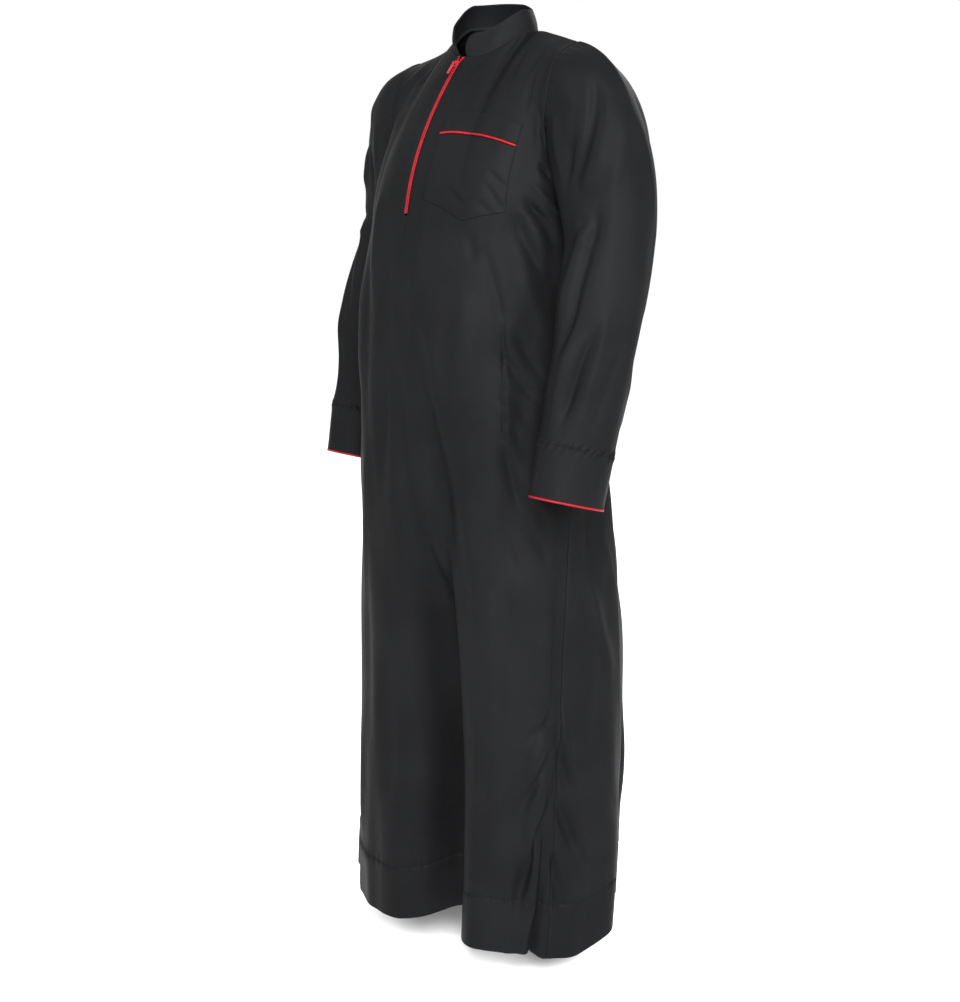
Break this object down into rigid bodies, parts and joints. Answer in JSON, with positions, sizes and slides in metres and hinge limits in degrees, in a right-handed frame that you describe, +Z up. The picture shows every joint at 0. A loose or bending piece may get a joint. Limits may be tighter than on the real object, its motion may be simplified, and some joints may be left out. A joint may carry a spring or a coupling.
{
  "type": "thobe",
  "caption": "Ankle-length black robe with a band collar, long set-in sleeves, a short red front zip, a chest pocket and red piping, in its hollow worn form.",
  "frame": {"origin": "midway between the two points where the shoulder seams meet the neck seam, at their height, where the wearer's shoulders carry the garment", "axes": "+Z up along the garment's length, -Y out of the front, +X towards the wearer's left"},
  "size_m": [0.7098, 0.3863, 1.4496],
  "materials": {
    "cloth": "smooth black polyester and viscose suiting with a soft lustre",
    "piping": "bright red satin piping and zip tape",
    "zip_metal": "red enamelled zip slider and pull"
  },
  "bodies": {
    "garment": {"front": "cloth", "back": "cloth", "sleeve_left": "cloth", "sleeve_right": "cloth", "collar": "cloth", "chest_pocket": "cloth", "chest_pocket_band": "cloth", "pocket_piping": "piping", "cuff_piping_left": "piping", "cuff_piping_right": "piping", "zip_strip": "piping", "zip_slider": "zip_metal"},
    "pull_tab": {"zip_pull": "zip_metal"}
  },
  "joints": [
    {"name": "pull_tab_hinge", "type": "hinge", "parent": "garment", "child": "pull_tab", "pos_m": [0, -0.08825, -0.05305], "axis": [-1, 0, 0], "range_deg": [-6, 150]}
  ]
}
